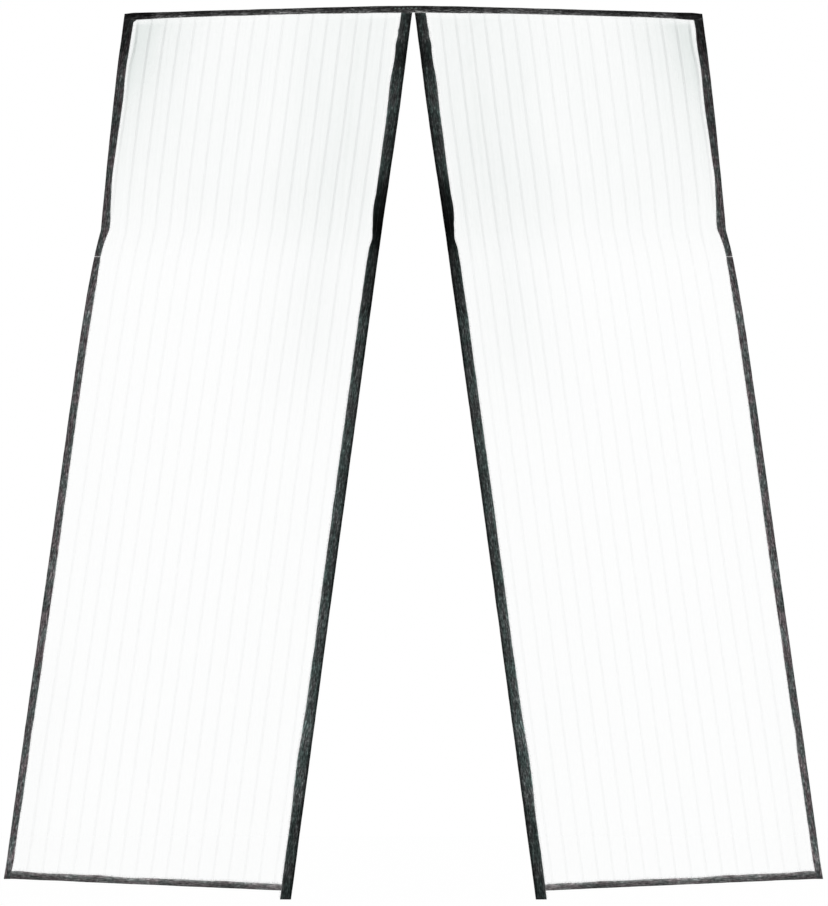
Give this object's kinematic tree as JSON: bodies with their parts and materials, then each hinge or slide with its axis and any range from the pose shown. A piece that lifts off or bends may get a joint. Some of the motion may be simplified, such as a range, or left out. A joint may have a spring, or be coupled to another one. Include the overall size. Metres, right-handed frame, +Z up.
{
  "type": "magnetic insect screen",
  "caption": "Door curtain against insects: striped net panels bound in dark felt tape, hung apart as an upside-down V, with magnet sleeves on the edges that meet.",
  "frame": {"origin": "middle of the heading's loop tape, on the face that meets the door frame", "axes": "+Z up, +X right as seen from the front, +Y to the door frame behind; the front faces -Y"},
  "size_m": [1.9964, 0.0211, 2.1806],
  "materials": {
    "net": "fine white netting, see-through",
    "binding": "matte felt tape",
    "sleeve": "matte felt tape",
    "loop_tape": "loop pile",
    "magnet": "matte bonded ferrite"
  },
  "bodies": {
    "root": {"heading_binding": "binding", "heading_loop_tape": "loop_tape", "hem_binding_left": "binding", "hem_binding_right": "binding", "magnet_left_01": "magnet", "magnet_left_02": "magnet", "magnet_left_03": "magnet", "magnet_left_04": "magnet", "magnet_left_05": "magnet", "magnet_left_06": "magnet", "magnet_left_07": "magnet", "magnet_left_08": "magnet", "magnet_left_09": "magnet", "magnet_left_10": "magnet", "magnet_left_11": "magnet", "magnet_left_12": "magnet", "magnet_left_13": "magnet", "magnet_right_01": "magnet", "magnet_right_02": "magnet", "magnet_right_03": "magnet", "magnet_right_04": "magnet", "magnet_right_05": "magnet", "magnet_right_06": "magnet", "magnet_right_07": "magnet", "magnet_right_08": "magnet", "magnet_right_09": "magnet", "magnet_right_10": "magnet", "magnet_right_11": "magnet", "magnet_right_12": "magnet", "magnet_right_13": "magnet", "magnet_sleeve_left": "sleeve", "magnet_sleeve_right": "sleeve", "net_left": "net", "net_right": "net", "side_binding_left_lower": "binding", "side_binding_left_upper": "binding", "side_binding_right_lower": "binding", "side_binding_right_upper": "binding", "side_loop_tape_left": "loop_tape", "side_loop_tape_right": "loop_tape"}
  },
  "joints": []
}
